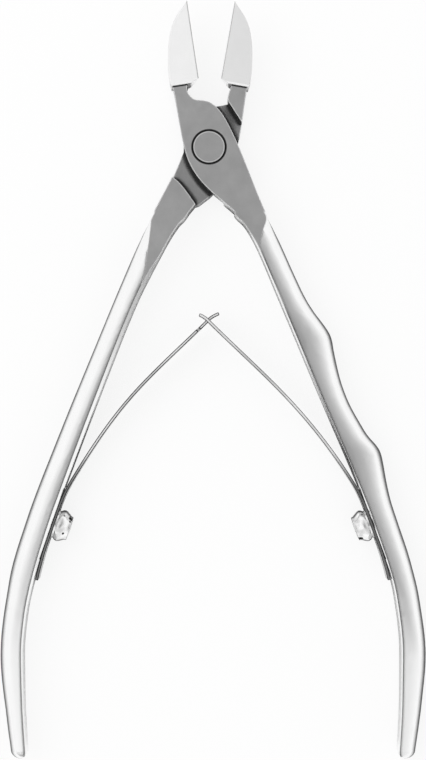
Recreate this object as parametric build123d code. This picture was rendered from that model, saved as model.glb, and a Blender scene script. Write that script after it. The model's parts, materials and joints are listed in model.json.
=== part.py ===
from build123d import *
import os
from math import acos, cos, hypot, radians, sin, sqrt, tan

# Plier-type nail clipper: two crossed levers on one pivot screw, held open by a pair of leaf springs.
# It lies flat, front face up. The pivot axis is Z, through the origin, which is on the underside.
# The jaws point along +Y and the handles along -Y. Millimetres, with the clipper sprung fully open.
os.makedirs("parts", exist_ok=True)

# ---- Joint: the front lever lies on the back lever, each half as deep as the joint
joint_thickness = 7.0
lap_clearance = 0.05
handle_start = 11.2  # pivot axis to where each joint plate becomes a handle

# ---- Jaws and blades
jaw_reach = 25.6  # pivot axis to the blade tips, along the cutting edge
heel_reach = 12.0  # pivot axis to the heel of the cutting edge
blade_base = 11.37  # pivot axis to the step where the blade is ground
blade_step = 0.25  # the ground blade stands this far above the joint
left_edge_angle = 8.55  # of each cutting edge from the middle, clipper open
right_edge_angle = 10.0
edge_relief = 16.0  # degrees that the wall under a cutting edge leans back
jaw_taper_start = 6.5  # pivot axis to where the rear of the jaws begins to slope
jaw_tip_thickness = 2.6

# ---- Handles
handle_reach = 106.4  # pivot axis to the handle ends
handle_end_round = 1.2
end_round_turns = (0, 30, 55, 75)  # degrees round the end at which it is lofted
inner_edge_drop = 0.5  # depth of the bevel along the inner face
handle_sections = 48  # that each handle is lofted through

# ---- Pivot screw
pivot_head_radius = 2.85
pivot_head_thickness = 1.6
pivot_head_bevel = 0.12
pivot_shank_radius = 2.0
pivot_slot_width = 0.8
pivot_slot_depth = 0.9
head_clearance = 0.08
bearing_clearance = 0.04
thread_clearance = 0.03

# ---- Leaf springs
leaf_thickness = 0.55
leaf_width = 4.4
left_leaf_bow = 1.6  # how far each leaf bows from the straight line between its root and the crossing
right_leaf_bow = 1.3
leaf_bow_place = 0.47  # where it bows most, as a share of that line
seat_reach = 6.5  # screw axis to each end of the flat milled on the handle
clamp_margin = 0.2  # that the flat part of a leaf's base runs past the screw's head
tail_length = 10.2  # screw axis to the free end of the clamped base
tail_lift = 0.45  # how far that free end stands off the seat's plane
hinge_distance = 8.1  # screw axis to the leaf's root, along the handle
hinge_lift_angle = 12.0  # of the leaf's root from the seat, in degrees
hinge_clearance = 0.05
crossing = (-0.2, -30.0)  # where the two leaves cross
crossing_angle = 45.0  # of each leaf from the X direction at the crossing
left_leaf_tip = (1.95, 1.2)  # from the crossing to the end of each leaf's bent tip
right_leaf_tip = (1.5, 0.95)
tongue_width = 1.6
tongue_length = 2.4  # narrow part of the left leaf before the crossing
slot_side_clearance = 0.3
slot_before = 1.6  # slot of the right leaf, each way from the crossing
slot_after = 1.1

# ---- Spring screws and washers
screw_share = 0.569  # place of each spring screw, as a share of its handle's length
screw_shank_radius = 1.25
screw_head_base_radius = 2.45
screw_head_radius = 2.8
screw_head_height = 2.4
screw_head_widest = 0.33  # share of its height at which the head is widest
screw_head_shoulder = (0.78, 0.82)  # shares of its radius and height where it turns over
screw_thread_depth = 2.7
thread_runout = 0.1
screw_slot_width = 0.8
screw_slot_depth = 0.8
screw_slot_turn = 35.0  # how far each screw stopped from lying along its spring
washer_thickness = 0.3
washer_clearance = 0.1

# ---- Outlines. A handle's tables run from its start (0) to its end (1): (share, millimetres).
# Inner and outer faces are distances from the middle plane; depth is half the section's height.
left_handle = {
    "inner": [(0, 3.45), (0.035, 6.07), (0.105, 9.75), (0.161, 12.4), (0.344, 19.35), (0.488, 24.55),
              (0.57, 27.4), (0.69, 30.9), (0.74, 31.85), (0.807, 32.42), (0.89, 32.3), (1, 31.75)],
    "outer": [(0, 9.55), (0.05, 12.0), (0.14, 15.75), (0.233, 19.43), (0.417, 26.6), (0.564, 31.93),
              (0.674, 34.94), (0.812, 36.48), (0.932, 35.36), (1, 34.5)],
    "depth": [(0, 14), (0.02, 9), (0.044, 5.1), (0.076, 4.05), (0.11, 3.62), (0.16, 3.48),
              (0.57, 3.1), (0.8, 2.8), (1, 2.5)],
    "bevel": [(0, 0.1), (0.16, 0.6), (0.4, 0.6), (0.57, 0.55), (0.74, 0.3), (1, 0.12)],
}
right_handle = {
    "inner": [(0, 4.45), (0.03, 6.57), (0.0485, 7.64), (0.161, 12.3), (0.344, 19.6), (0.488, 25.5),
              (0.57, 28.55), (0.707, 32.5), (0.807, 33.5), (0.89, 33.45), (1, 32.95)],
    "outer": [(0, 9.75), (0.05, 12.16), (0.123, 15.31), (0.16, 17.05), (0.196, 19.33), (0.219, 21.0),
              (0.233, 21.45), (0.27, 22.15), (0.307, 23.0), (0.343, 24.23), (0.38, 26.07),
              (0.417, 28.34), (0.435, 29.8), (0.454, 30.36), (0.49, 30.97), (0.527, 31.76),
              (0.564, 32.89), (0.637, 35.17), (0.711, 36.83), (0.812, 37.92), (0.895, 37.27), (1, 35.9)],
    "depth": [(0, 12), (0.02, 6), (0.04, 3.9), (0.065, 3.52), (0.16, 3.45), (0.57, 3.1),
              (0.8, 2.8), (1, 2.5)],
    "bevel": [(0, 0.1), (0.16, 0.25), (0.57, 0.25), (1, 0.12)],
}
# Blade width away from its cutting edge: (share of the way from the base to the tip, millimetres)
blade_widths = [(0, 4.95), (0.1, 5.1), (0.297, 4.85), (0.585, 4.0), (0.838, 2.15), (0.919, 1.05), (1, 0)]
blade_base_width = 1.4  # from the cutting edge's line to the inner corner of the blade's base
neck_inner_width = 2.0  # the neck under the blade, from the same line
neck_outer_width = 4.7
# Shoulders of the lap, where one lever is cut away for the other. A jaw's is on the blade's own side.
jaw_shoulder = [(1.4, 10.9), (3.4, 7.8), (5.42, 4.7), (8.0, 0.75)]
handle_shoulder = [(8.0, 4.4), (6.34, 5.2), (4.92, 6.45), (3.67, 8.04), (2.44, 9.81), (1.3, 11.6)]
lap_corner = (8.0, 14.0)  # beyond both levers
# Edges of each lever's joint plate: (x, y)
front_right_edge = [(-3.45, 9.0), (-2.5, 8.25), (-0.9, 8.05), (0.75, 7.35), (3.2, 4.2), (5.0, 0.45),
                    (7.4, -5.5)]
front_left_edge = [(2.15, -9.25), (-1.4, -5.9), (-3.65, -2.2), (-4.4, 0.3), (-5.45, 5.95)]
back_right_edge = [(6.0, 6.4), (5.5, 3.1), (4.5, -0.9), (2.9, -4.6), (0.3, -8.2)]
back_lower_edge = [(0.3, -8.2), (-1.8, -9.8), (-2.44, -9.98)]
back_left_edge = [(-6.34, -5.14), (-4.45, -0.6)]
back_upper_edge = [(-4.45, -0.6), (-3.7, 3.5), (-2.5, 5.5), (-0.9, 6.85), (0.75, 7.35)]
back_neck_edge = [(0.75, 7.35), (3.36, 7.85), (3.25, 8.6), (3.47, 9.4)]

# ---- Worked out from the sizes above
middle = joint_thickness / 2
blade_top = joint_thickness + blade_step
handle_length = handle_reach - handle_start
clamp_reach = screw_head_base_radius + clamp_margin
far = 2 * handle_reach  # longer than anything, for cutting tools


def steepness(knots):
    """Slope at each knot of a table: none at a peak, and otherwise the harmonic mean of its sides."""
    sides = [(b[1] - a[1]) / (b[0] - a[0]) for a, b in zip(knots, knots[1:])]
    inside = [2 * p * q / (p + q) if p * q > 0 else 0 for p, q in zip(sides, sides[1:])]
    return [sides[0], *inside, sides[-1]]


def read(knots, share):
    """Value of a table at a share, on a smooth curve that never overshoots its knots."""
    slopes = steepness(knots)
    i = max(k for k in range(len(knots) - 1) if knots[k][0] <= share or k == 0)
    (x0, y0), (x1, y1) = knots[i], knots[i + 1]
    span = x1 - x0
    t = (share - x0) / span
    rise = y0 + (y1 - y0) * t * t * (3 - 2 * t)
    return rise + span * t * (1 - t) * ((1 - t) * slopes[i] - t * slopes[i + 1])


def plate(*edges, bottom=0.0, top=joint_thickness):
    """Flat solid inside a closed outline, between two heights."""
    return extrude(Pos(0, 0, bottom) * make_face(list(edges)), top - bottom)


def handle_section(table, side, share, inset):
    """D-shaped section of a handle: flat bevelled inner face, outer face half an ellipse."""
    inner = read(table["inner"], share) + inset
    width = read(table["outer"], share) - inset - inner
    depth = read(table["depth"], share) - inset
    bevel = min(read(table["bevel"], share), width / 3)
    crease = depth * sqrt(1 - (bevel / width) ** 2)
    flat = crease - min(inner_edge_drop, depth / 4)
    swing = acos(bevel / width)
    arc = [(width * cos(swing * k / 4), -depth * sin(swing * k / 4)) for k in range(-4, 5)]
    outline = [
        Line((0, -flat), (0, flat)),
        Line((0, flat), (bevel, crease)),
        Spline(*arc),
        Line((bevel, -crease), (0, -flat)),
    ]
    origin = (side * inner, -(handle_start + share * handle_length), middle)
    return Plane(origin, x_dir=(side, 0, 0), z_dir=(0, -side, 0)) * make_face(outline)


def handle(table, side):
    """A handle, lofted through its sections, rounded at its end and ground flat to the joint."""
    round_share = handle_end_round / handle_length
    shares = [(1 - round_share) * k / handle_sections for k in range(handle_sections + 1)]
    shaft = loft([handle_section(table, side, share, 0) for share in shares])
    rounding = []
    for turn in end_round_turns:
        inset = handle_end_round * (1 - cos(radians(turn)))
        share = 1 - round_share * (1 - sin(radians(turn)))
        rounding.append(handle_section(table, side, share, inset))
    slab = Pos(0, 0, middle) * Box(far, 2 * far, joint_thickness)
    return (shaft + loft(rounding)) & slab


def blade(side, edge_angle):
    """A blade with its cutting edge on the front face and its inner wall leaning back from it."""
    length = jaw_reach - blade_base
    curve = [(side * w, blade_base + share * length) for share, w in blade_widths]
    heel = (0, heel_reach)
    corner = (side * blade_base_width, blade_base)
    body = plate(Spline(*curve), Polyline(curve[-1], heel, corner, curve[0]), top=blade_top)
    lean = side * blade_top * tan(radians(edge_relief))
    wedge = Polyline((0, blade_top), (lean, 0), (-lean, 0), (-lean, blade_top), close=True)
    relief = extrude(Plane.XZ * make_face(wedge), -far)
    return Rot(0, 0, side * -edge_angle) * (body - relief)


def in_front_of_edge(side, edge_angle, width, reach):
    """Point at a width from a cutting edge's line and a reach from the pivot along it."""
    turn = radians(side * edge_angle)
    return (side * width * cos(turn) + reach * sin(turn), reach * cos(turn) - side * width * sin(turn))


def rear_slope():
    """Tool that tapers the rear of the jaws towards their tips."""
    rise = (blade_top - jaw_tip_thickness) * (far - jaw_taper_start) / (jaw_reach - jaw_taper_start)
    profile = Polyline((jaw_taper_start, 0), (far, rise), (far, -1), (jaw_taper_start, -1), close=True)
    return Pos(-far / 2, 0, 0) * extrude(Plane.YZ * make_face(profile), far)


def lap_zone(side, bottom, top):
    """Where one lever is cut away for the other, between its jaw shoulder and its handle shoulder."""
    jaw = [(side * x, y) for x, y in jaw_shoulder]
    shoulder = [(-side * x, -y) for x, y in handle_shoulder]
    below = (side * lap_corner[0], -lap_corner[1])
    above = (-side * lap_corner[0], jaw[0][1])
    across_jaw = Polyline(*jaw, below, shoulder[-1])
    back_to_jaw = Polyline(shoulder[0], above, jaw[0])
    return plate(across_jaw, Spline(*reversed(shoulder)), back_to_jaw, bottom=bottom, top=top)


def inner_point(table, side, share):
    """Point on a handle's inner face, in its middle plane."""
    return Vector(side * read(table["inner"], share), -(handle_start + share * handle_length), middle)


def seat(table, side):
    """Plane of a handle's spring seat: Z out of the face, X towards the jaws, origin on the screw's axis."""
    nearby = seat_reach / handle_length
    along = inner_point(table, side, screw_share - nearby) - inner_point(table, side, screw_share + nearby)
    out = Vector(-side * along.Y, side * along.X, 0)
    return Plane(inner_point(table, side, screw_share), x_dir=along, z_dir=out)


def seat_cut(plane):
    """Shallow flat milled for the clamped base, and the screw's tapped hole."""
    flat = Pos(0, 0, joint_thickness / 2) * Box(2 * seat_reach, 2 * joint_thickness, joint_thickness)
    depth = screw_thread_depth + thread_runout
    hole = Pos(0, 0, -depth / 2) * Cylinder(screw_shank_radius + thread_clearance, depth)
    return plane * (flat + hole)


def front_lever():
    """Left blade and right handle. It lies on top, and its lap is the upper half."""
    neck_inner = in_front_of_edge(-1, left_edge_angle, neck_inner_width, blade_base)
    neck_outer = in_front_of_edge(-1, left_edge_angle, neck_outer_width, blade_base)
    start_inner = (right_handle["inner"][0][1], -handle_start)
    start_outer = (right_handle["outer"][0][1], -handle_start)
    joint = plate(
        Spline(neck_inner, *front_right_edge, start_outer),
        Line(start_outer, start_inner),
        Spline(start_inner, *front_left_edge, neck_outer),
        Line(neck_outer, neck_inner),
    )
    body = joint + handle(right_handle, 1) + blade(-1, left_edge_angle)
    body -= rear_slope() + lap_zone(-1, -1, middle + lap_clearance / 2)
    counterbore = pivot_head_thickness + head_clearance / 2
    body -= Cylinder(pivot_shank_radius + bearing_clearance, far)
    pocket = Cylinder(pivot_head_radius + head_clearance, counterbore)
    body -= Pos(0, 0, joint_thickness - counterbore / 2) * pocket
    return body - seat_cut(right_seat)


def back_lever():
    """Right blade and left handle. It lies underneath, and its lap is the lower half."""
    neck_inner = in_front_of_edge(1, right_edge_angle, neck_inner_width, blade_base)
    neck_outer = in_front_of_edge(1, right_edge_angle, neck_outer_width, blade_base)
    start_inner = (-left_handle["inner"][0][1], -handle_start)
    start_outer = (-left_handle["outer"][0][1], -handle_start)
    joint = plate(
        Spline(neck_outer, *back_right_edge),
        Polyline(*back_lower_edge, start_inner, start_outer, *back_left_edge),
        Spline(*back_upper_edge),
        Polyline(*back_neck_edge, neck_inner, neck_outer),
    )
    body = joint + handle(left_handle, -1) + blade(1, right_edge_angle)
    body -= rear_slope() + lap_zone(1, middle - lap_clearance / 2, blade_top + 1)
    body -= Cylinder(pivot_shank_radius + thread_clearance, far)
    return body - seat_cut(left_seat)


def pivot_screw():
    """Plain flush head in the front lever; the shank ends flush with the back lever, with a slot."""
    head = Cylinder(pivot_head_radius, pivot_head_thickness)
    head = Pos(0, 0, joint_thickness - pivot_head_thickness / 2) * head
    head = chamfer(head.edges().sort_by(Axis.Z)[-1], pivot_head_bevel)
    shank_length = joint_thickness - pivot_head_thickness
    shank = Pos(0, 0, shank_length / 2) * Cylinder(pivot_shank_radius, shank_length)
    slot = Rot(0, 0, screw_slot_turn) * Box(far, pivot_slot_width, 2 * pivot_slot_depth)
    return head + shank - slot


def spring_screw(plane):
    """Round-headed screw, tapped into the handle, with a slot across its head."""
    floor = leaf_thickness + washer_thickness
    top = floor + screw_head_height
    base = (screw_head_base_radius, floor)
    widest = (screw_head_radius, floor + screw_head_widest * screw_head_height)
    shoulder = (
        screw_head_shoulder[0] * screw_head_radius,
        floor + screw_head_shoulder[1] * screw_head_height,
    )
    tip = (0, -screw_thread_depth)
    profile = [
        Polyline(tip, (screw_shank_radius, -screw_thread_depth), (screw_shank_radius, floor), base),
        Spline(base, widest, shoulder, (0, top), tangents=[(1, 1), (-1, 0)]),
        Line((0, top), tip),
    ]
    body = revolve(Plane.XZ * make_face(profile), Axis.Z)
    slot = Pos(0, 0, top) * Rot(0, 0, screw_slot_turn) * Box(far, screw_slot_width, 2 * screw_slot_depth)
    return plane * (body - slot)


def washer(plane):
    """Flat washer between the spring and the screw's head."""
    ring = Circle(screw_head_base_radius) - Circle(screw_shank_radius + washer_clearance)
    return plane * extrude(Pos(0, 0, leaf_thickness) * ring, washer_thickness)


def root_of(plane):
    """The leaf's root, where it turns."""
    lift = leaf_thickness / 2 + (hinge_distance - clamp_reach) * tan(radians(hinge_lift_angle) / 2)
    return plane.from_local_coords(Vector(hinge_distance, 0, lift))


def strip(edges):
    """Spring steel along a path in the middle plane, its thickness in plan and its width upwards."""
    return extrude(Pos(0, 0, -leaf_width / 2) * trace(edges, leaf_thickness), leaf_width)


def spring_base(plane):
    """The part of a leaf spring that its screw clamps to the handle, up to the leaf's root."""
    root = root_of(plane)
    tail = plane.from_local_coords(Vector(-tail_length, 0, leaf_thickness / 2 + tail_lift))
    back = plane.from_local_coords(Vector(-clamp_reach, 0, leaf_thickness / 2))
    front = plane.from_local_coords(Vector(clamp_reach, 0, leaf_thickness / 2))
    path = [
        TangentArc(back, tail, tangent=-plane.x_dir),
        Line(back, front),
        TangentArc(front, root, tangent=plane.x_dir),
    ]
    body = Pos(0, 0, middle) * strip([Pos(0, 0, -middle) * edge for edge in path])
    body -= Pos(root.X, root.Y, middle) * Cylinder(leaf_thickness / 2 + hinge_clearance, far)
    return body - plane * Cylinder(screw_shank_radius + washer_clearance, far)


def leaf_path(plane, side, leaf_bow, leaf_tip):
    """A leaf's path from its root over its bow to the crossing, and round its bent tip."""
    root = root_of(plane)
    start = Vector(root.X, root.Y, 0)
    meet = Vector(*crossing, 0)
    run = meet - start
    away = Vector(side * run.Y, -side * run.X, 0).normalized()
    bow = start + run * leaf_bow_place + away * leaf_bow
    lift = radians(hinge_lift_angle)
    leaving = plane.x_dir * cos(lift) + plane.z_dir * sin(lift)
    angle = radians(crossing_angle)
    arriving = Vector(-side * cos(angle), sin(angle), 0)
    tip = meet + Vector(-side * leaf_tip[0], leaf_tip[1], 0)
    return [
        Spline(start, bow, meet, tangents=[leaving, arriving]),
        TangentArc(meet, tip, tangent=arriving),
    ]


def leaf(plane, side, leaf_bow, leaf_tip):
    """The moving part of a leaf spring, round at its root, where it turns."""
    path = leaf_path(plane, side, leaf_bow, leaf_tip)
    eye = Pos(path[0] @ 0) * Cylinder(leaf_thickness / 2, leaf_width)
    return Pos(0, 0, middle) * (strip(path) + eye)


def along_leaf(side, before, after, width):
    """Bar along a leaf at the crossing, for cutting its slot or its tongue."""
    turn = Rot(0, 0, 90 + side * (90 - crossing_angle))
    bar = Pos((after - before) / 2, 0, 0) * Box(before + after, 3 * leaf_thickness, width)
    return Pos(*crossing, middle) * turn * bar


def left_leaf():
    """Left leaf, narrowed to a tongue that passes through the slot of the right leaf."""
    past_tip = hypot(*left_leaf_tip) + leaf_width
    around = along_leaf(-1, tongue_length, past_tip, far)
    tongue = along_leaf(-1, far, far, tongue_width)
    return leaf(left_seat, -1, left_leaf_bow, left_leaf_tip) - (around - tongue)


def right_leaf():
    """Right leaf, with a slot for the tongue of the left leaf."""
    slot = along_leaf(1, slot_before, slot_after, tongue_width + 2 * slot_side_clearance)
    return leaf(right_seat, 1, right_leaf_bow, right_leaf_tip) - slot


left_seat = seat(left_handle, -1)
right_seat = seat(right_handle, 1)

nodes = {
    "front_lever": front_lever(),
    "back_lever": back_lever(),
    "pivot_screw": pivot_screw(),
    "left_spring_base": spring_base(left_seat),
    "right_spring_base": spring_base(right_seat),
    "left_spring_leaf": left_leaf(),
    "right_spring_leaf": right_leaf(),
    "left_spring_screw": spring_screw(left_seat),
    "right_spring_screw": spring_screw(right_seat),
    "left_washer": washer(left_seat),
    "right_washer": washer(right_seat),
}

for name, shape in nodes.items():
    export_step(shape, f"parts/{name}.step")
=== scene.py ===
import bmesh
import bpy
import json
from math import cos, radians, sin
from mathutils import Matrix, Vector


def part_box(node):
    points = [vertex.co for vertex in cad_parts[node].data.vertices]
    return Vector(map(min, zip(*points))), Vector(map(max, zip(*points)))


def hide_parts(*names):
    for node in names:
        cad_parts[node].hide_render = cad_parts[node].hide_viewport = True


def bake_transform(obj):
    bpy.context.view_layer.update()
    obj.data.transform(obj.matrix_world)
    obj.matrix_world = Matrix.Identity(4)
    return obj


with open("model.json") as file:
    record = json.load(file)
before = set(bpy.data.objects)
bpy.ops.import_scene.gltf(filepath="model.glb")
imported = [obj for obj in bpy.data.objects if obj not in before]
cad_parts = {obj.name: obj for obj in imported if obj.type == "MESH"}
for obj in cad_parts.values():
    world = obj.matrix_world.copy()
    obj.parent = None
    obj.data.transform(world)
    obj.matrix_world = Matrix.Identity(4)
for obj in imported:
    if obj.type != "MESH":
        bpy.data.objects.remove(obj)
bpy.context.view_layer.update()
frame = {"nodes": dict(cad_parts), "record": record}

# Sizes are in millimetres, turned into metres by MM where they reach Blender.
MM = 0.001

# ---------------------------------------------------------------- the frame's own places
nodes = frame["nodes"]
joints = {joint["name"]: joint for joint in frame["record"]["behaviour"]["joints"]}
joint_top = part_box("pivot_screw")[1].z / MM
lap_height = joint_top / 2

# ---------------------------------------------------------------- sizes of the levers' looks
blade_base = 11.37  # pivot axis to the step where each blade is ground
left_edge_angle = 8.55  # lean of each cutting edge from Y, in degrees
right_edge_angle = 10.0
edge_rounding = 0.28
crease_rounding = 0.8
shade_reach = 1.5  # how far off a corner's walls a spot may be for painted shade to lie on it

# A pair is a border: a look begins to show at its first value and is complete at its second.
# Along each blade from the pivot axis, and across it from its cutting edge:
blade_border = (blade_base - 0.02, blade_base + 0.02)
corner_border = (blade_base - 0.36, blade_base - 0.24)
heel_line = blade_base + 0.15
heel_line_border = (0.25, 0.15)  # from the line's middle
facet_border = (0.22, 0.12)
# Along Y:
flats_border = (-30.0, -26.0)
satin_border = (-12.5, -11.0)
recess_border = (-15.0, -13.0)
crown_shade_border = (-85.0, -50.0)
brushed_border = (-46.0, -26.0)
# In height:
recess_height_border = (lap_height + 0.5, lap_height + 0.2)
ring_height_border = (lap_height + 1, lap_height + 2)
band_height_border = (1.85, 0.85)  # up and down from the levers' middle
# From the pivot axis:
ring_border = (3.16, 3.06)
# In the normal's Z, which is 1 on top and 0 on an upright side, and for the inner side in its X:
flat_facing = (0.992, 0.998)
side_facing = (0.6, 0.4)
inner_facing = (0.1, 0.4)
band_facing = (0.86, 0.72)
crease_facing = (0.8, 0.86)
crown_shade_facing = (0.95, 0.998)
brushed_facing = (0.5, 0.6)
# In how open a spot is:
shade_border = (0.92, 0.73)

# Tones run from black at 0 to white at 1.
satin_tone = 0.58
satin_side_tone = 0.9
# Painted shade: how much darker the joint's recess is painted.
recess_shade = 0.72
# Painted shade along the cutting edge takes this tone.
edge_shade_tone = 0.25
handle_tone = 0.9
# Painted shade on the handle's crown takes this tone.
crown_shade_tone = 0.45
brushed_tone = 0.5
# The painted dark band, a painted reflection, takes this tone.
painted_band_tone = 0.07
# Painted shade takes this tone, in corners, in creases and on rims.
shade_tone = 0.02
brushed_strength = 0.75
rubbed_roughness = 0.14
brushed_roughness = 0.4
shade_roughness = 0.9

# Patterns, in blobs a millimetre: the three numbers are those along X, Y and Z.
clouds_per_mm = 0.35
grain_per_mm = 5.0
grinding_per_mm = (0.6, 9.0, 4.0)
polish_per_mm = (0.5, 0.12, 0.5)
rolling_per_mm = (3.0, 0.15, 6.0)
satin_depth = 0.002

# ---------------------------------------------------------------- sizes of the leaf springs
# A side's sign is -1 on the left. A screw's place is where its axis meets the handle. Lean is the
# clamped end's turn from Y, bow is how far the leaf swells outwards, and tip is its end, from the
# crossing: inwards and up along Y.
springs = {
    "left": {"side": -1, "screw": (-27.368, -65.369), "lean": 19.07, "bow": 1.6, "tip": (1.95, 1.2)},
    "right": {"side": 1, "screw": (28.517, -65.369), "lean": 20.23, "bow": 1.3, "tip": (1.5, 0.95)},
}
leaf_thickness = 0.55
leaf_width = 4.4
leaf_bow_place = 0.47  # of the way from the root to the crossing
leaf_rounding = 0.16
clamp_reach = 2.65  # screw axis to each end of the flat part that the screw clamps
tail_length = 10.2
tail_lift = 0.45  # of the tail's end off the handle
lift_angle = 12.0  # between the leaf at its root and the clamped part
crossing = Vector((-0.2, -30.0))
crossing_angle = 45.0
tongue_width = 1.6
tongue_length = 2.4
shoulder_length = 0.2  # where the leaf narrows to its tongue
slot_width = 2.2
slot_before = 1.6  # from the crossing to each end of the slot
slot_after = 1.1
stretch_steps = 60
tip_steps = 16


# ---------------------------------------------------------------- camera
def add_camera():
    """Straight above the clipper's middle, far enough off for a slight perspective."""
    distance = 350.0
    seen_height = 133.0
    middle = (0.693, -40.4)
    data = bpy.data.cameras.new("camera")
    data.sensor_fit = "VERTICAL"
    data.sensor_height = 24.0
    data.lens = data.sensor_height * distance / seen_height
    data.clip_start = 10 * MM
    camera = bpy.data.objects.new("camera", data)
    bpy.context.scene.collection.objects.link(camera)
    camera.location = Vector((*middle, lap_height + distance)) * MM
    bpy.context.scene.camera = camera


# ---------------------------------------------------------------- node graphs
class Graph:
    """Adds nodes to one tree. Each method returns its node's output, or takes a number for one."""

    def __init__(self, tree):
        self.tree = tree

    def add(self, kind, **settings):
        node = self.tree.nodes.new(kind)
        for name, value in settings.items():
            setattr(node, name, value)
        return node

    def plug(self, socket, value):
        if isinstance(value, bpy.types.NodeSocket):
            self.tree.links.new(value, socket)
        else:
            socket.default_value = value

    def maths(self, operation, *values):
        node = self.add("ShaderNodeMath", operation=operation)
        for socket, value in zip(node.inputs, values):
            self.plug(socket, value)
        return node.outputs[0]

    def sum(self, *values):
        total = values[0]
        for value in values[1:]:
            total = self.maths("ADD", total, value)
        return total

    def times(self, *values):
        product = values[0]
        for value in values[1:]:
            product = self.maths("MULTIPLY", product, value)
        return product

    def outside(self, mask):
        """1 where the mask is 0, and 0 where it is 1."""
        return self.maths("SUBTRACT", 1, mask)

    def either(self, a, b):
        return self.maths("MAXIMUM", a, b)

    def off(self, value, place):
        """How far the value is from the place, on either side of it."""
        return self.maths("ABSOLUTE", self.sum(value, -place))

    def toned(self, tone, *patterns):
        """The tone, raised by each pattern times its strength."""
        return self.sum(tone, *(self.times(pattern, strength) for pattern, strength in patterns))

    def fade(self, value, start, end, low=0.0, high=1.0, shape="SMOOTHSTEP"):
        """From low, where the value is at start, to high, where it is at end."""
        node = self.add("ShaderNodeMapRange", interpolation_type=shape)
        if start > end:
            start, end, low, high = end, start, high, low
        self.plug(node.inputs["Value"], value)
        settings = {"From Min": start, "From Max": end, "To Min": low, "To Max": high}
        for name, setting in settings.items():
            node.inputs[name].default_value = setting
        return node.outputs["Result"]

    def spread(self, pattern, low, high):
        """The pattern's usual values, spread out from low to high."""
        return self.fade(pattern, 0.2, 0.8, low, high)

    def mix(self, factor, a, b):
        """Number a where the factor is 0, and b where it is 1."""
        node = self.add("ShaderNodeMix", data_type="FLOAT")
        for socket, value in zip((node.inputs[0], node.inputs[2], node.inputs[3]), (factor, a, b)):
            self.plug(socket, value)
        return node.outputs[0]

    def split(self, vector):
        node = self.add("ShaderNodeSeparateXYZ")
        self.plug(node.inputs[0], vector)
        return node.outputs

    def vector(self, operation, a, b):
        node = self.add("ShaderNodeVectorMath", operation=operation)
        self.plug(node.inputs[0], a)
        self.plug(node.inputs[1], b)
        return node.outputs["Value" if operation == "DOT_PRODUCT" else "Vector"]

    def noise(self, place, per_mm, detail=2.0, roughness=0.5):
        """Even cloudy pattern with that many blobs a millimetre; three numbers stretch it."""
        scales = per_mm if isinstance(per_mm, tuple) else (per_mm,) * 3
        node = self.add("ShaderNodeTexNoise")
        self.plug(node.inputs["Vector"], self.vector("MULTIPLY", place, scales))
        node.inputs["Scale"].default_value = 1.0
        node.inputs["Detail"].default_value = detail
        node.inputs["Roughness"].default_value = roughness
        return node.outputs["Fac"]

    def grey(self, value):
        node = self.add("ShaderNodeCombineColor")
        for socket in node.inputs:
            self.plug(socket, value)
        return node.outputs[0]


class Metal(Graph):
    """A metal's graph: its surface, and the object's own place in millimetres and normal."""

    def __init__(self, name):
        self.material = bpy.data.materials.new(name)
        self.material.use_nodes = True
        super().__init__(self.material.node_tree)
        self.surface = self.tree.nodes["Principled BSDF"]
        self.surface.inputs["Metallic"].default_value = 1.0
        texture = self.add("ShaderNodeTexCoord")
        self.place = self.vector("MULTIPLY", texture.outputs["Object"], (1 / MM,) * 3)
        self.facing = self.split(texture.outputs["Normal"])

    def turned(self, degrees):
        """The place, turned about Z, so that a stretched pattern can run along a piece."""
        node = self.add("ShaderNodeVectorRotate", rotation_type="Z_AXIS")
        self.plug(node.inputs["Vector"], self.place)
        node.inputs["Angle"].default_value = radians(degrees)
        return node.outputs[0]

    def from_pivot(self, x, y):
        return self.maths("SQRT", self.sum(self.times(x, x), self.times(y, y)))

    def satin_patterns(self):
        """Clouds and grain of the satin faces, which run on from the levers to the pivot's head."""
        return self.noise(self.place, clouds_per_mm, 3.0), self.noise(self.place, grain_per_mm, 3.0, 0.6)

    def satin_colour(self, clouds, grain, contrast):
        """The satin tone, as much lighter as darker in its clouds, with a little grain on top."""
        return self.toned(satin_tone - contrast / 2, (clouds, contrast), (grain, 0.06))

    def round_edges(self, radius, start=0.99, full=0.8):
        """Normal rounded over sharp edges, and how near its edge each spot is: 1 on it, 0 away from it.

        That comes from the dot of the rounded and the true normal, which falls from start to full.
        """
        rounded = self.add("ShaderNodeBevel", samples=4)
        rounded.inputs["Radius"].default_value = radius * MM
        true = self.add("ShaderNodeNewGeometry").outputs["Normal"]
        same = self.vector("DOT_PRODUCT", rounded.outputs[0], true)
        return rounded.outputs[0], self.fade(same, start, full)

    def open(self, distance):
        """How open each spot is within that distance: 1 in the open, 0 in a deep corner."""
        sky = self.add("ShaderNodeAmbientOcclusion", samples=8)
        sky.inputs["Distance"].default_value = distance * MM
        return sky.outputs["AO"]

    def finish(self, colour, roughness, height, depth, normal=None):
        """Links the finished values. Height is a pattern from 0 to 1, and depth is what 1 stands for."""
        self.plug(self.surface.inputs["Base Color"], self.grey(colour))
        self.plug(self.surface.inputs["Roughness"], roughness)
        bump = self.add("ShaderNodeBump")
        bump.inputs["Strength"].default_value = 1.0
        bump.inputs["Distance"].default_value = depth * MM
        self.plug(bump.inputs["Height"], height)
        if normal is not None:
            self.plug(bump.inputs["Normal"], normal)
        self.plug(self.surface.inputs["Normal"], bump.outputs[0])
        return self.material


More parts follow.
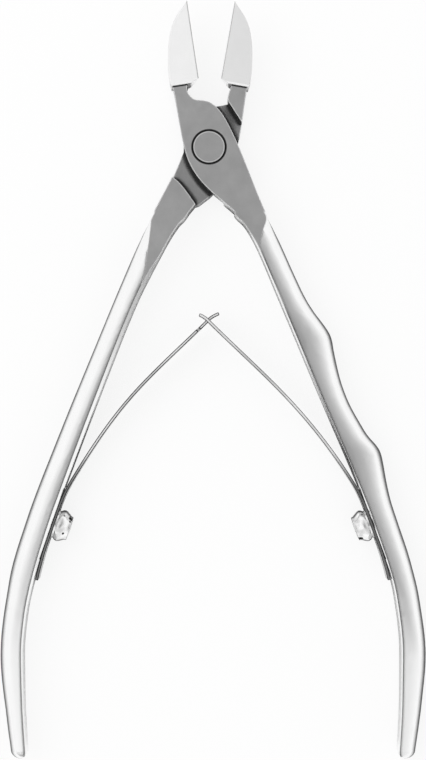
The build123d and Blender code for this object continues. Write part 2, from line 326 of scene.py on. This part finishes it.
# ---------------------------------------------------------------- metals
class Lever(Metal):
    """A lever's graph: where its blade, satin joint and handle are, and the patterns that they share."""

    def __init__(self, name, blade_side, edge_angle):
        super().__init__(name)
        self.x, self.y, self.z = self.split(self.place)
        self.up = self.facing["Z"]
        turn = radians(edge_angle)
        self.along = self.sum(self.times(self.x, blade_side * sin(turn)), self.times(self.y, cos(turn)))
        self.across = self.sum(self.times(self.x, blade_side * cos(turn)), self.times(self.y, -sin(turn)))
        self.blade = self.fade(self.along, *blade_border)
        flats = self.times(self.fade(self.up, *flat_facing), self.fade(self.y, *flats_border))
        self.satin = self.either(flats, self.fade(self.y, *satin_border))
        low = self.fade(self.z, *recess_height_border)
        self.recess = self.times(low, self.fade(self.y, *recess_border))

        self.clouds, self.grain = self.satin_patterns()
        self.ground = self.noise(self.turned(blade_side * edge_angle), grinding_per_mm, 2.0, 0.6)
        self.polish = self.noise(self.place, polish_per_mm, 2.0)
        self.rounded, self.worn_and_highlit = self.round_edges(edge_rounding, start=0.995, full=0.9)
        self.side = self.fade(self.up, *side_facing)
        self.inner = self.fade(self.times(self.facing["X"], blade_side), *inner_facing)


def joint_look(lever):
    """Satin colour, and the painted shade in the joint's corners, round the pivot's head and under the
    blade.
    """
    radius = lever.from_pivot(lever.x, lever.y)
    # Painted shade: darker where recess walls hem a spot in, in a ring round the pivot's head, and in a
    # line under the blade's step.
    joint_shade = lever.times(lever.recess, lever.fade(lever.open(shade_reach), *shade_border))
    shaded_ring = lever.times(lever.fade(radius, *ring_border), lever.fade(lever.z, *ring_height_border))
    shaded_corner = lever.times(lever.fade(lever.along, *corner_border), lever.outside(lever.blade))
    joint_shade = lever.either(joint_shade, lever.either(shaded_ring, shaded_corner))
    colour = lever.satin_colour(lever.clouds, lever.grain, 0.2)
    # Painted shade: the recess is painted darker.
    colour = lever.mix(lever.recess, colour, lever.times(colour, recess_shade))
    colour = lever.mix(lever.side, colour, satin_side_tone)
    return lever.mix(joint_shade, colour, shade_tone), joint_shade


def blade_look(lever, tone):
    """Colour of a ground face, with a painted highlight along its heel and a narrow band of painted shade
    along the cutting edge, where its facet is.
    """
    # Painted shade along the cutting edge, and a painted highlight along the heel line.
    edge_shade = lever.fade(lever.across, *facet_border)
    heel_highlight = lever.fade(lever.off(lever.along, heel_line), *heel_line_border)
    colour = lever.toned(tone, (lever.clouds, 0.06), (lever.ground, 0.04))
    colour = lever.mix(lever.either(heel_highlight, lever.side), colour, 1.0)
    return lever.mix(edge_shade, colour, edge_shade_tone)


def handle_look(lever, crease_full, crown_shade_and_brush):
    """Colour of a polished handle, and where it is dark and where it is brushed.

    A dark band of painted reflection runs along the outer side, and a line of painted shade lies in the
    crease where the inner bevel starts. The last argument, from 0 to 1, darkens the crown as painted shade,
    and the end of the inner bevel, which is brushed there.
    """
    # Painted reflection: a dark band along the outer side, standing for the dark that the side mirrors.
    painted_band = lever.fade(lever.off(lever.z, lap_height), *band_height_border)
    painted_band = lever.times(painted_band, lever.outside(lever.inner), lever.fade(lever.up, *band_facing))
    # Painted shade: a dark line in the crease where the inner bevel starts.
    _, crease_shade = lever.round_edges(crease_rounding, start=0.997, full=crease_full)
    crease_shade = lever.times(crease_shade, lever.fade(lever.up, *crease_facing))
    dark = lever.either(painted_band, crease_shade)
    # Painted shade: the crown is darkened, fading out towards the handle's end.
    crown = lever.fade(lever.up, *crown_shade_facing)
    crown_shade = lever.times(crown, lever.fade(lever.y, *crown_shade_border), crown_shade_and_brush)
    brushed = lever.times(
        lever.inner,
        lever.fade(lever.y, *brushed_border),
        lever.fade(lever.up, *brushed_facing),
        brushed_strength * crown_shade_and_brush,
    )
    colour = lever.toned(handle_tone, (lever.polish, 0.08))
    colour = lever.mix(crown_shade, colour, crown_shade_tone)
    colour = lever.mix(brushed, colour, brushed_tone)
    dark_colour = lever.mix(crease_shade, lever.toned(painted_band_tone, (lever.clouds, 0.06)), shade_tone)
    return lever.mix(dark, colour, dark_colour), dark, brushed


def lever_steel(name, blade_side, edge_angle, blade_tone, crease_full, crown_shade_and_brush):
    """One lever: bright ground blade, satin joint and polished handle, each up to its own border."""
    lever = Lever(name, blade_side, edge_angle)
    blade, satin, side = lever.blade, lever.satin, lever.side
    satin_colour, joint_shade = joint_look(lever)
    blade_colour = blade_look(lever, blade_tone)
    handle_colour, dark, brushed = handle_look(lever, crease_full, crown_shade_and_brush)

    colour = lever.mix(satin, handle_colour, satin_colour)
    colour = lever.mix(blade, colour, blade_colour)
    # Painted highlight: the rounded edges of satin and blade are painted white, partly as wear.
    rubbed_and_highlit = lever.times(lever.worn_and_highlit, lever.outside(joint_shade), lever.either(satin, blade))
    colour = lever.mix(rubbed_and_highlit, colour, 1.0)

    handle_roughness = lever.fade(lever.polish, 0.3, 0.8, 0.06, 0.12)
    roughness = lever.mix(satin, handle_roughness, lever.spread(lever.grain, 0.3, 0.4))
    roughness = lever.mix(blade, roughness, lever.spread(lever.ground, 0.5, 0.62))
    roughness = lever.mix(lever.either(rubbed_and_highlit, side), roughness, rubbed_roughness)
    roughness = lever.mix(lever.times(brushed, lever.outside(blade)), roughness, brushed_roughness)
    # The painted shade and the painted dark band are made matte and not metal, so that they stay dark.
    shaded_matte = lever.times(lever.mix(satin, dark, joint_shade), lever.outside(blade))
    roughness = lever.mix(shaded_matte, roughness, shade_roughness)
    metallic = lever.mix(blade, lever.outside(shaded_matte), lever.fade(side, 0.0, 1.0, 0.4, 1.0))
    lever.plug(lever.surface.inputs["Metallic"], metallic)

    height = lever.mix(satin, lever.times(lever.polish, 0.5), lever.grain)
    height = lever.mix(blade, height, lever.ground)
    return lever.finish(colour, roughness, height, satin_depth, lever.rounded)


def pivot_steel(name):
    """The pivot screw's head, ground with the joint: a painted highlight line runs just inside its rim,
    which is painted shade.
    """
    line_radius = 2.6
    line_border = (0.11, 0.04)  # from the line's middle
    shaded_rim_border = (2.68, 2.75)
    metal = Metal(name)
    x, y, _ = metal.split(metal.place)
    radius = metal.from_pivot(x, y)
    clouds, grain = metal.satin_patterns()
    normal, _ = metal.round_edges(0.05)
    # Painted highlight in a line, and painted shade on the rim.
    highlight_line = metal.fade(metal.off(radius, line_radius), *line_border)
    colour = metal.satin_colour(clouds, grain, 0.14)
    colour = metal.mix(highlight_line, colour, 0.95)
    colour = metal.mix(metal.fade(radius, *shaded_rim_border), colour, shade_tone)
    roughness = metal.spread(grain, 0.28, 0.4)
    return metal.finish(colour, roughness, grain, satin_depth, normal)


def spring_steel(name, lean):
    """Rolled strip with faint lines along it, a painted highlight on its sheared edges and painted shade
    round their corners.

    The shoulder, where the leaf narrows to its tongue, stays free of that painted shade. The edges' painted
    highlight is dimmer from the root to the tail, as painted shade.
    """
    shoulder = (tongue_width + leaf_width) / 4  # its middle, from the strip's own
    shoulder_border = (0.45, 0.6)
    edge_facing = (0.93, 0.99)
    corner_facing = (0.1, 0.3)
    root_border = (-60.0, -52.0)
    tail_shade = 0.25
    metal = Metal(name)
    lines = metal.noise(metal.turned(lean), rolling_per_mm, 3.0, 0.6)
    clouds = metal.noise(metal.place, 0.12, 2.0)
    _, y, z = metal.split(metal.place)
    off_middle = metal.off(z, lap_height)
    normal, _ = metal.round_edges(0.06)
    up_or_down = metal.maths("ABSOLUTE", metal.facing["Z"])
    edge = metal.fade(up_or_down, *edge_facing)
    off_shoulder = metal.fade(metal.off(off_middle, shoulder), *shoulder_border)
    # Painted shade on the rounded corners of the edges.
    shaded_corner = metal.times(metal.fade(up_or_down, *corner_facing), metal.outside(edge), off_shoulder)
    # Painted highlight on the edges, dimmer along the tail as painted shade.
    edge_highlight = metal.fade(clouds, 0.3, 0.7, 0.6, 0.95)
    edge_highlight = metal.times(edge_highlight, metal.fade(y, *root_border, tail_shade, 1.0))
    colour = metal.mix(edge, metal.toned(0.48, (lines, 0.2)), edge_highlight)
    colour = metal.mix(shaded_corner, colour, shade_tone)
    metal.plug(metal.surface.inputs["Metallic"], metal.fade(edge, 0.0, 1.0, 1.0, 0.4))
    roughness = metal.spread(lines, 0.24, 0.36)
    return metal.finish(colour, roughness, lines, 0.001, normal)


def screw_steel(name):
    """Turned and tumbled head: bright with a few dark pits, and painted shade where it turns down and away.
    """
    pits_per_mm = 0.55
    pit_border = (0.16, 0.1)
    down_facing = (0.5, 0.3)
    level_facing = (0.04, 0.14)
    metal = Metal(name)
    blotches = metal.noise(metal.place, 0.7, 2.0, 0.5)
    grain = metal.noise(metal.place, 7.0, 2.0)
    pits = metal.add("ShaderNodeTexVoronoi")
    metal.plug(pits.inputs["Vector"], metal.place)
    pits.inputs["Scale"].default_value = pits_per_mm
    pitted = metal.fade(pits.outputs["Distance"], *pit_border)
    normal, worn_and_highlit = metal.round_edges(0.08)
    up = metal.facing["Z"]
    # Painted shade where the head turns down and away.
    turned_down = metal.fade(up, *down_facing)
    shaded_rim = metal.times(turned_down, metal.fade(metal.maths("ABSOLUTE", up), *level_facing))
    colour = metal.fade(blotches, 0.35, 0.65, 0.7, 0.98)
    # Painted highlight on the rounded edges, partly as wear.
    colour = metal.mix(worn_and_highlit, colour, 1.0)
    colour = metal.mix(metal.either(pitted, shaded_rim), colour, 0.05)
    roughness = metal.fade(blotches, 0.3, 0.7, 0.32, 0.2)
    height = metal.sum(blotches, metal.times(grain, 0.05))
    return metal.finish(colour, roughness, height, 0.02, normal)


def washer_steel(name):
    """Bright plated washer."""
    metal = Metal(name)
    grain = metal.noise(metal.place, 4.0, 3.0)
    normal, worn_and_highlit = metal.round_edges(0.05)
    # Painted highlight on the rounded edges, partly as wear.
    colour = metal.mix(worn_and_highlit, metal.toned(0.84, (grain, 0.08)), 0.93)
    roughness = metal.spread(grain, 0.14, 0.26)
    return metal.finish(colour, roughness, grain, 0.001, normal)


def paint(node, material):
    nodes[node].data.materials.clear()
    nodes[node].data.materials.append(material)


# ---------------------------------------------------------------- springs
def hermite(p0, p1, m0, m1, t):
    """Point on the cubic from p0 to p1 with those slopes."""
    return (
        p0 * (2 * t**3 - 3 * t**2 + 1) + m0 * (t**3 - 2 * t**2 + t)
        + p1 * (3 * t**2 - 2 * t**3) + m1 * (t**3 - t**2)
    )


def end_speed(chord, other_length, whole):
    """Speed at the end with that chord, of a curve through three points at an even pace."""
    length = chord.length
    total = length + other_length
    return (chord * (2 * length + other_length) / length - whole * length / total).length / total


def clamped_part(spec, root, forward, out):
    """Points from the tail, lifted off the handle, through the clamped flat, to the root."""
    screw = Vector(spec["screw"])
    half = leaf_thickness / 2
    hinge = (root - screw).dot(forward)
    rise = (root - screw).dot(out) - half
    points = []
    for k in range(stretch_steps + 1):
        reach = -tail_length + (tail_length + hinge) * k / stretch_steps
        lift = tail_lift * max(0, (-reach - clamp_reach) / (tail_length - clamp_reach)) ** 2
        lift += rise * max(0, (reach - clamp_reach) / (hinge - clamp_reach)) ** 2
        points.append(screw + forward * reach + out * (half + lift))
    return points


def spring_path(spec, root):
    """Middle line of a spring in plan, from its tail to its tip, and which points are root and crossing."""
    side = spec["side"]
    lean = radians(spec["lean"])
    forward = Vector((-side * sin(lean), cos(lean)))
    out = Vector((-side * forward.y, side * forward.x))
    points = clamped_part(spec, root, forward, out)
    at_root = len(points) - 1

    run = crossing - root
    away = Vector((side * run.y, -side * run.x)).normalized()
    bow = root + run * leaf_bow_place + away * spec["bow"]
    turn = radians(lift_angle)
    leaving = forward * cos(turn) + out * sin(turn)
    arriving = Vector((-side * cos(radians(crossing_angle)), sin(radians(crossing_angle))))
    first, second = (bow - root).length, (crossing - bow).length
    start_slope = leaving * end_speed(bow - root, second, run)
    end_slope = arriving * end_speed(crossing - bow, first, run)
    pull = 3 * ((bow - root) / first**2 + (crossing - bow) / second**2)
    middle_slope = (pull - start_slope / first - end_slope / second) / (2 / first + 2 / second)
    for k in range(1, stretch_steps + 1):
        points.append(hermite(root, bow, start_slope * first, middle_slope * first, k / stretch_steps))
    for k in range(1, stretch_steps + 1):
        points.append(hermite(bow, crossing, middle_slope * second, end_slope * second, k / stretch_steps))
    at_crossing = len(points) - 1

    tip = Vector((-side * spec["tip"][0], spec["tip"][1]))
    ahead = tip.dot(arriving)
    sideways = tip - arriving * ahead
    for k in range(1, tip_steps + 1):
        points.append(crossing + arriving * ahead * k / tip_steps + sideways * (k / tip_steps) ** 2)
    return points, at_root, at_crossing


def distances(points, origin):
    """Length along the path from the origin to each point, negative before it."""
    lengths = [0.0]
    for a, b in zip(points, points[1:]):
        lengths.append(lengths[-1] + (b - a).length)
    return [length - lengths[origin] for length in lengths]


def rail_heights(side, distance):
    """Four heights across the strip, from its middle: its edges, and between them the slot's, if any."""
    edge = leaf_width / 2
    if side < 0:
        narrow = tongue_width / 2
        edge += (narrow - edge) * min(1, max(0, (distance + tongue_length) / shoulder_length))
        return (-edge, -edge / 2, edge / 2, edge)
    return (-edge, -slot_width / 2, slot_width / 2, edge)


def strip_mesh(name, points, side, reach):
    """Closed strip along the points, four vertices high on each face, with the slot left open."""
    slotted = [side > 0 and -slot_before < d < slot_after for d in reach]
    mesh = bmesh.new()
    rows = []
    for i, point in enumerate(points):
        ahead = points[min(i + 1, len(points) - 1)] - points[max(i - 1, 0)]
        across = Vector((-ahead.y, ahead.x)).normalized() * leaf_thickness / 2
        heights = [lap_height + height for height in rail_heights(side, reach[i])]
        row = []
        for place in (point + across, point - across):
            row.append([mesh.verts.new(Vector((place.x, place.y, height)) * MM) for height in heights])
        rows.append(row)
    for i in range(len(rows) - 1):
        (a, b), (c, d) = rows[i], rows[i + 1]
        bands = (0, 2) if slotted[i] and slotted[i + 1] else (0, 1, 2)
        for k in bands:
            mesh.faces.new((a[k], a[k + 1], c[k + 1], c[k]))
            mesh.faces.new((b[k + 1], b[k], d[k], d[k + 1]))
        mesh.faces.new((a[3], b[3], d[3], c[3]))
        mesh.faces.new((b[0], a[0], c[0], d[0]))
        if len(bands) == 2:
            mesh.faces.new((b[1], a[1], c[1], d[1])[::-1])
            mesh.faces.new((a[2], b[2], d[2], c[2])[::-1])
        if slotted[i] != slotted[i + 1]:
            e, f = (c, d) if slotted[i + 1] else (a, b)
            wall = (e[1], f[1], f[2], e[2])
            mesh.faces.new(wall if slotted[i + 1] else wall[::-1])
    for end, flip in ((rows[0], False), (rows[-1], True)):
        for k in range(3):
            face = (end[0][k], end[1][k], end[1][k + 1], end[0][k + 1])
            mesh.faces.new(face[::-1] if flip else face)
    bmesh.ops.recalc_face_normals(mesh, faces=mesh.faces)
    data = bpy.data.meshes.new(name)
    mesh.to_mesh(data)
    mesh.free()
    return data


def add_spring(hand):
    """One strip from its clamped tail to its bent tip, which bends where the two CAD pieces meet."""
    spec = springs[hand]
    joint = joints[f"{hand}_leaf_bend"]
    points, at_root, at_crossing = spring_path(spec, Vector(joint["pos_m"][:2]) / MM)
    data = strip_mesh(f"{hand}_spring", points, spec["side"], distances(points, at_crossing))
    spring = bpy.data.objects.new(f"{hand}_spring", data)
    bpy.context.scene.collection.objects.link(spring)
    data.materials.append(spring_steel(f"{hand}_spring_steel", spec["side"] * spec["lean"]))
    round_off = spring.modifiers.new("rounded edges", "BEVEL")
    round_off.width = leaf_rounding * MM
    round_off.segments = 2
    round_off.limit_method = "ANGLE"
    round_off.angle_limit = radians(50)
    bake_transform(spring)
    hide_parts(f"{hand}_spring_base", f"{hand}_spring_leaf")


# ---------------------------------------------------------------- stage and light
def add_floor():
    """Pale matte floor. The camera and mirrors see it white, with the shadows left on it."""
    half_size = 1.0
    tone = 0.96
    white_share = 0.85  # of what the camera sees; the rest takes the shadows
    gap_reach = 4.0
    gap_border = (0.5, 0.66)  # in how open the floor is, from dark to white
    corners = [(-half_size, -half_size, 0), (half_size, -half_size, 0)]
    corners += [(half_size, half_size, 0), (-half_size, half_size, 0)]
    mesh = bpy.data.meshes.new("floor")
    mesh.from_pydata(corners, [], [(0, 1, 2, 3)])
    floor = bpy.data.objects.new("floor", mesh)
    bpy.context.scene.collection.objects.link(floor)
    material = bpy.data.materials.new("floor")
    material.use_nodes = True
    graph = Graph(material.node_tree)
    surface = graph.tree.nodes["Principled BSDF"]
    surface.inputs["Base Color"].default_value = (tone, tone, tone, 1)
    surface.inputs["Roughness"].default_value = 1.0
    surface.inputs["Specular IOR Level"].default_value = 0.0
    ray = graph.add("ShaderNodeLightPath").outputs
    seen = graph.either(ray["Is Camera Ray"], ray["Is Glossy Ray"])
    seen = graph.either(seen, ray["Is Transmission Ray"])
    # The floor's glow, as mirrors see it, is painted darker close to the object: a painted shadow, which
    # draws the metal's outlines.
    mirrored_shadow = graph.add("ShaderNodeAmbientOcclusion", samples=8)
    mirrored_shadow.inputs["Distance"].default_value = gap_reach * MM
    shade = graph.fade(mirrored_shadow.outputs["AO"], *gap_border)
    glow = graph.add("ShaderNodeEmission")
    glow.inputs["Strength"].default_value = 1.0
    graph.plug(glow.inputs["Color"], graph.grey(graph.mix(ray["Is Glossy Ray"], 1.0, shade)))
    both = graph.add("ShaderNodeMixShader")
    graph.plug(both.inputs[0], graph.times(seen, white_share))
    graph.plug(both.inputs[1], surface.outputs[0])
    graph.plug(both.inputs[2], glow.outputs[0])
    graph.plug(graph.tree.nodes["Material Output"].inputs["Surface"], both.outputs[0])
    mesh.materials.append(material)


def tilt(degrees):
    """Upward part of a direction that many degrees off the vertical."""
    return cos(radians(degrees))


def add_world():
    """A light tent: white all round, greyer overhead, most so on the right, and dark at its opening."""
    left_overhead, right_overhead = 0.7, 0.38
    front_white = 0.7  # how far the front is whitened
    opening_tone = 0.3
    right_border = (-0.08, 0.22)
    front_border = (-0.03, -0.2)
    world = bpy.data.worlds.new("light_tent")
    world.use_nodes = True
    bpy.context.scene.world = world
    graph = Graph(world.node_tree)
    direction = graph.add("ShaderNodeTexCoord").outputs["Generated"]
    x, y, up = graph.split(direction)
    left = graph.fade(up, tilt(60), tilt(15), 1.0, left_overhead)
    right = graph.fade(up, tilt(72), tilt(12), 1.0, right_overhead, "LINEAR")
    tent = graph.mix(graph.fade(x, *right_border), left, right)
    tent = graph.mix(graph.fade(y, *front_border), tent, graph.mix(front_white, tent, 1.0))
    opening = graph.fade(up, tilt(20), tilt(3))
    light = graph.mix(opening, tent, opening_tone)
    background = world.node_tree.nodes["Background"]
    graph.plug(background.inputs["Color"], graph.grey(light))
    background.inputs["Strength"].default_value = 1.0


def add_lamp():
    """Soft window light from the upper left, which makes up what the tent's grey parts take."""
    data = bpy.data.lights.new("window", "AREA")
    data.shape = "DISK"
    data.size = 600 * MM
    data.energy = 1.0
    lamp = bpy.data.objects.new("window", data)
    bpy.context.scene.collection.objects.link(lamp)
    lamp.location = Vector((-350.0, 150.0, 450.0)) * MM
    aim = Vector((0, -40 * MM, 0))
    lamp.rotation_euler = (aim - lamp.location).to_track_quat("-Z", "Y").to_euler()
    lamp.visible_glossy = False


add_camera()
add_floor()
add_world()
add_lamp()

# The back lever is a shaded copy of the front one: its blade tone is lower, as painted shade, and only its
# crown takes painted shade.
front_looks = {"blade_tone": 0.92, "crease_full": 0.976, "crown_shade_and_brush": 0.0}
back_looks = {"blade_tone": 0.78, "crease_full": 0.991, "crown_shade_and_brush": 1.0}
paint("front_lever", lever_steel("front_lever_steel", -1, left_edge_angle, **front_looks))
paint("back_lever", lever_steel("back_lever_steel", 1, right_edge_angle, **back_looks))
paint("pivot_screw", pivot_steel("pivot_steel"))
head_steel = screw_steel("screw_head_steel")
ring_steel = washer_steel("washer_steel")
for hand in springs:
    paint(f"{hand}_spring_screw", head_steel)
    paint(f"{hand}_washer", ring_steel)
    add_spring(hand)

bpy.context.scene.view_settings.view_transform = "Standard"
